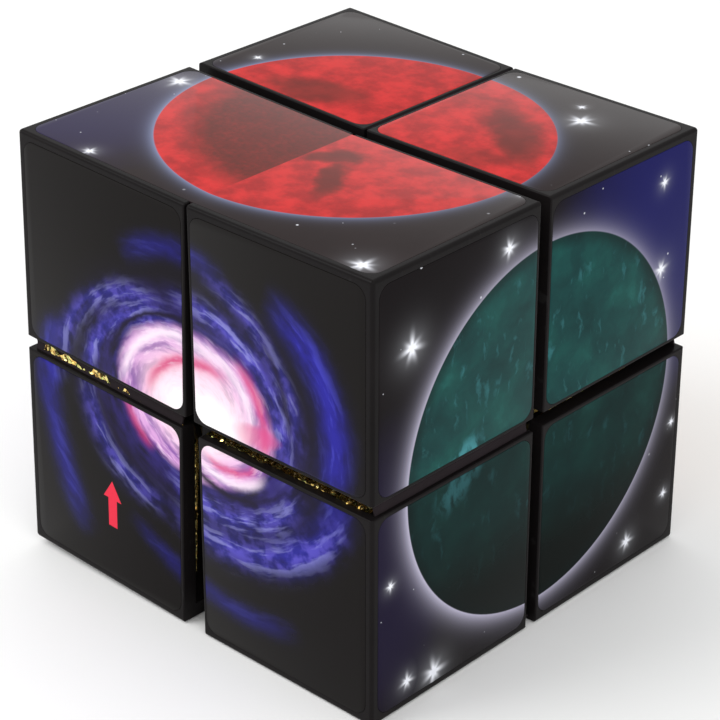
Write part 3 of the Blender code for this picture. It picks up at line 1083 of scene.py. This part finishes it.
def add_film(name):
    """A film strip from one unit's side wall to the next, sunk a little in the middle of its seam."""
    unit, other, face = FILMS[name]
    side = UNITS[unit]
    seam = next(axis for axis in range(3) if side[axis] != UNITS[other][axis])
    run = 3 - face - seam
    half_width = (CREASE_EDGE if name == TOP_HINGE else SEAM_EDGE) - FILM_SIDE_GAP
    level = TOP_FILM_LEVEL if name == TOP_HINGE else FILM_LEVEL
    solid = bmesh.new()
    rings = []
    for i in range(FILM_STEPS + 1):
        share = i / FILM_STEPS
        sink = FILM_SINK * math.sin(math.pi * share) ** 2
        ring = []
        for end, lift in ((0, 0.5), (1, 0.5), (1, -0.5), (0, -0.5)):
            point = Vector((0, 0, 0))
            point[seam] = side[seam] * half_width * (1 - 2 * share)
            point[run] = side[run] * FILM_SPAN[end]
            point[face] = side[face] * (level - sink + FILM_THICKNESS * lift)
            point += CENTRE
            if unit in LEANING:
                point = lean(point)
            elif other in LEANING:
                point = point.lerp(lean(point), share)
            ring.append(solid.verts.new(point))
        rings.append(ring)
    for a, b in zip(rings, rings[1:]):
        for k in range(4):
            solid.faces.new((a[k], a[(k + 1) % 4], b[(k + 1) % 4], b[k]))
    solid.faces.new(rings[0])
    solid.faces.new(rings[-1])
    mesh = to_mesh(solid, name + "_strip")
    smooth(mesh)
    piece = add_piece(mesh.name, mesh, "hinge_film", name)
    if name == OPEN_HINGE:
        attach(piece, unit)
        return
    start, end = Vector(CENTRE), Vector(CENTRE)
    start[seam] += side[seam] * half_width
    end[seam] -= side[seam] * half_width
    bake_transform(piece)


# ---------------------------------------------------------------- floor, light and camera

FLOOR_RADIUS = 4.0
FLOOR_DROP = 0.03 * MM  # below the labels that the cube stands on


def floor_material():
    """A pale matt floor with hardly any grain."""
    t = Tree("floor")
    place = t.add("TexCoord", output="Object")
    shade = t.mix(t.noise(place, 6, 3), (0.90, 0.90, 0.895, 1), (0.93, 0.93, 0.925, 1))
    return t.finish(shade, 0.75, t.bump(t.noise(place, 700, 2), 0.05 * MM, 0.2))


def add_floor():
    solid = bmesh.new()
    bmesh.ops.create_circle(solid, cap_ends=True, segments=96, radius=FLOOR_RADIUS)
    mesh = bpy.data.meshes.new("floor")
    solid.to_mesh(mesh)
    solid.free()
    floor = bpy.data.objects.new("floor", mesh)
    floor.location.z = -FLOOR_DROP
    bpy.context.collection.objects.link(floor)
    mesh.materials.append(floor_material())


def add_light(name, place, size, energy):
    """A square soft light that faces the cube."""
    lamp = bpy.data.lights.new(name, "AREA")
    lamp.size = size
    lamp.energy = energy
    light = bpy.data.objects.new(name, lamp)
    light.location = place
    toward = CENTRE - Vector(place)
    light.rotation_euler = toward.to_track_quat("-Z", "Y").to_euler()
    bpy.context.collection.objects.link(light)


def add_world():
    world = bpy.data.worlds.new("studio")
    world.use_nodes = True
    world.node_tree.nodes["Background"].inputs["Color"].default_value = (1, 1, 1, 1)
    world.node_tree.nodes["Background"].inputs["Strength"].default_value = 0.95
    bpy.context.scene.world = world


def add_camera():
    """A long lens from the front right and above."""
    azimuth, elevation = math.radians(43.1), math.radians(28.0)
    distance = 0.3295
    target = Vector((MIDDLE_X, 0.0, 0.0278))
    toward = Vector((
        math.sin(azimuth) * math.cos(elevation),
        -math.cos(azimuth) * math.cos(elevation),
        math.sin(elevation),
    ))
    data = bpy.data.cameras.new("camera")
    data.lens = 126.5
    data.sensor_width = 36.0
    data.clip_start = 0.01
    camera = bpy.data.objects.new("camera", data)
    camera.location = target + toward * distance
    camera.rotation_euler = (-toward).to_track_quat("-Z", "Y").to_euler()
    bpy.context.collection.objects.link(camera)
    bpy.context.scene.camera = camera


# ---------------------------------------------------------------- everything

for unit_name in UNITS:
    add_outer_shell(unit_name)
    add_inner_shell(unit_name)
    add_foil(unit_name)
    for face_axis in range(3):
        if not (unit_name in CREASED and face_axis == 2):
            add_label(unit_name, face_axis)
add_creased_label()
for film_name in FILMS:
    add_film(film_name)

add_floor()
add_world()
add_light("key", (-0.30, -0.42, 0.55), 0.40, 2.0)
add_light("fill", (0.45, -0.25, 0.35), 0.35, 0.6)
add_camera()
bpy.context.scene.view_settings.view_transform = "Standard"
